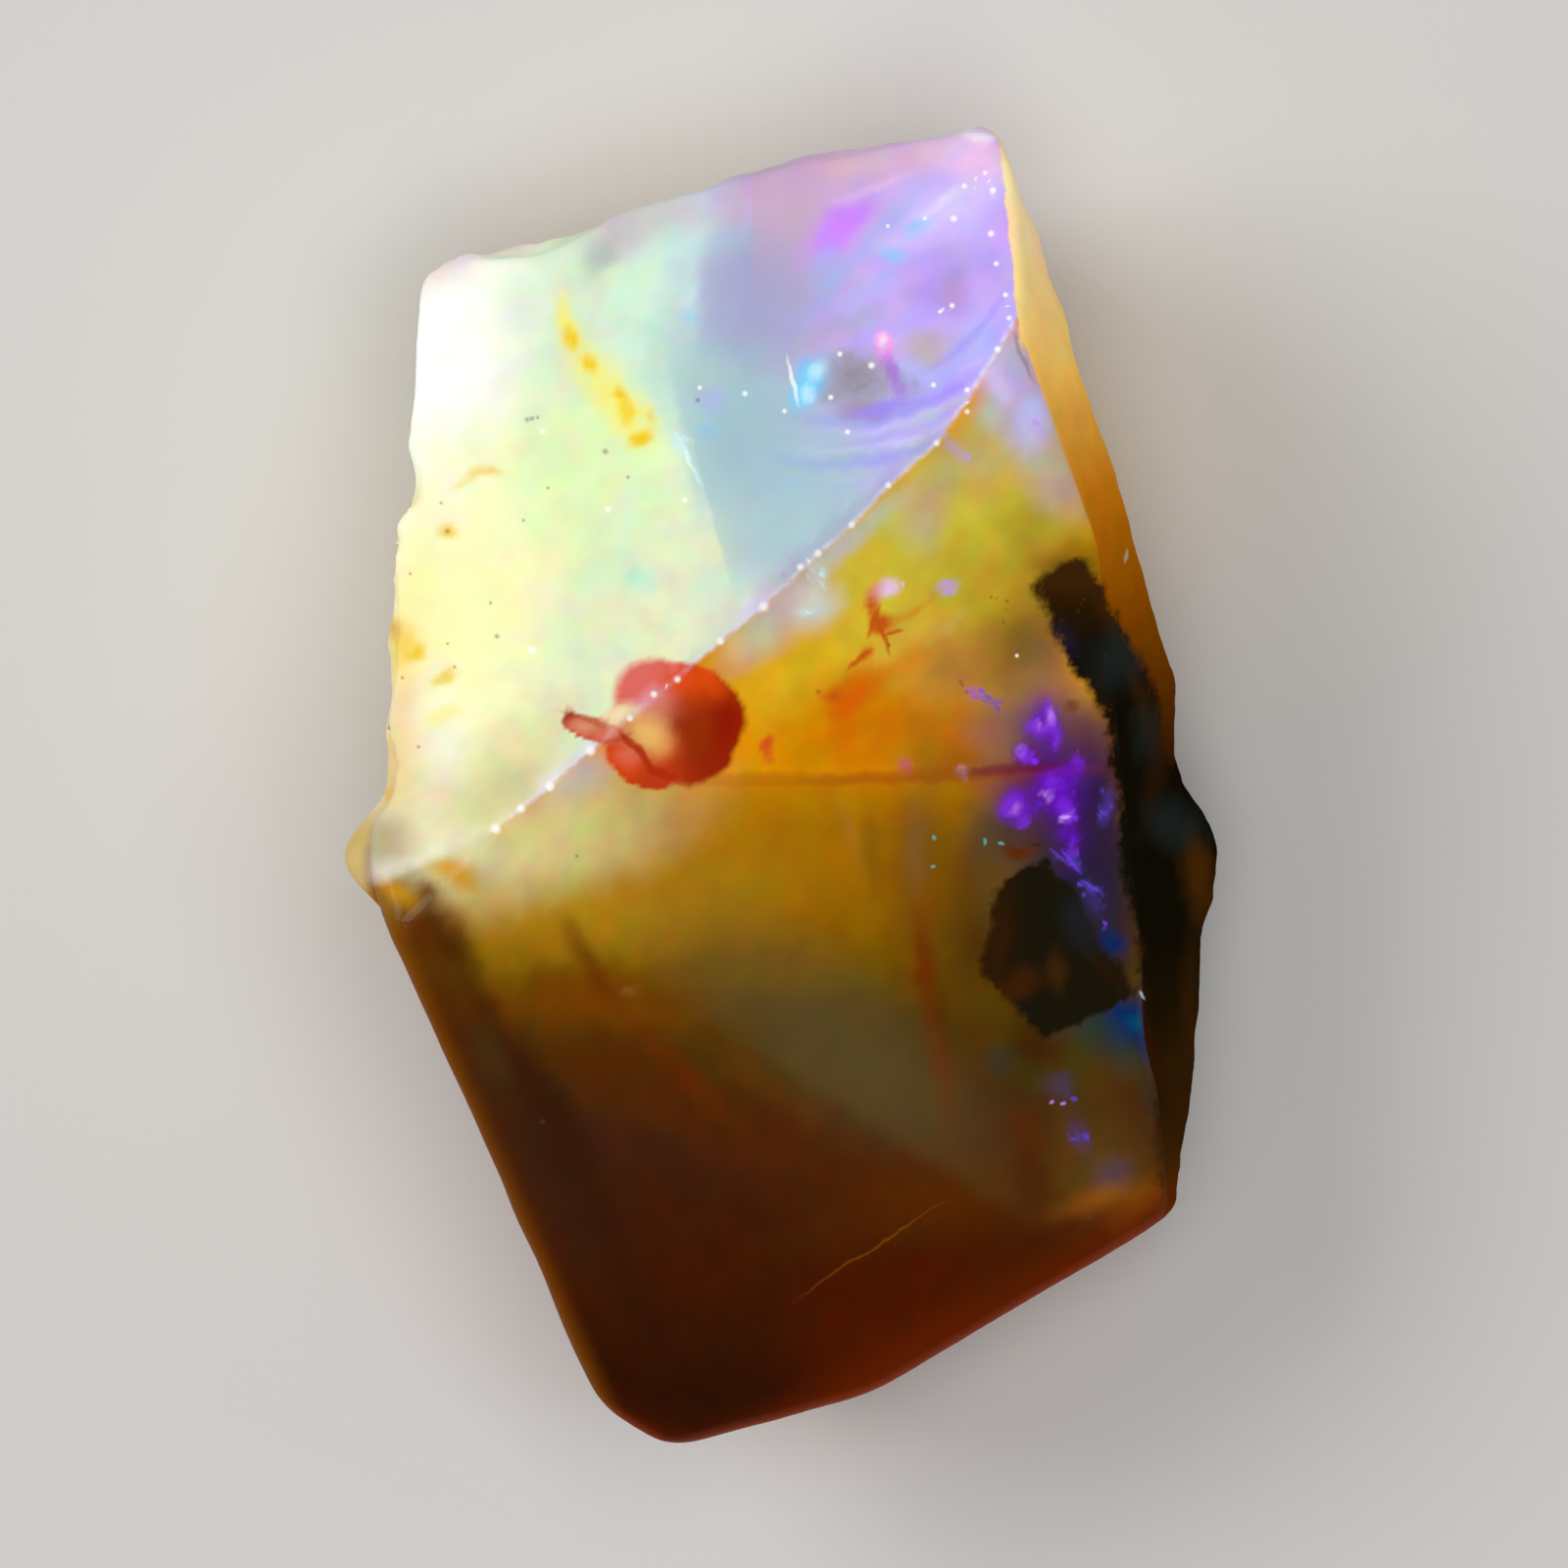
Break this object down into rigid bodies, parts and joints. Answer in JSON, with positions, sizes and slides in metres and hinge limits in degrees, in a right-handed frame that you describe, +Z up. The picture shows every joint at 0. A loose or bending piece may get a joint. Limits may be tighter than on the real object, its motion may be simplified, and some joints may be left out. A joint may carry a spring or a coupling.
{
  "type": "rough fire opal",
  "caption": "Rough block of fire opal: broad faces meet at a slanting ridge over uneven, undercut walls with worn and chipped edges, and a flat sawn back.",
  "frame": {"origin": "under the middle of the stone's box, on the surface that its sawn back rests on", "axes": "+Y along the stone, from its brown end to its white end; +Z up, from the sawn back to the ridge; +X across it, towards the dark skin"},
  "size_m": [0.017, 0.026, 0.0131],
  "materials": {
    "fire_opal": "glassy and translucent, from milky white at one end through yellow and amber to red brown, with violet and blue flashes and a dark skin along one side"
  },
  "bodies": {
    "root": {"rough_fire_opal": "fire_opal"}
  },
  "joints": []
}
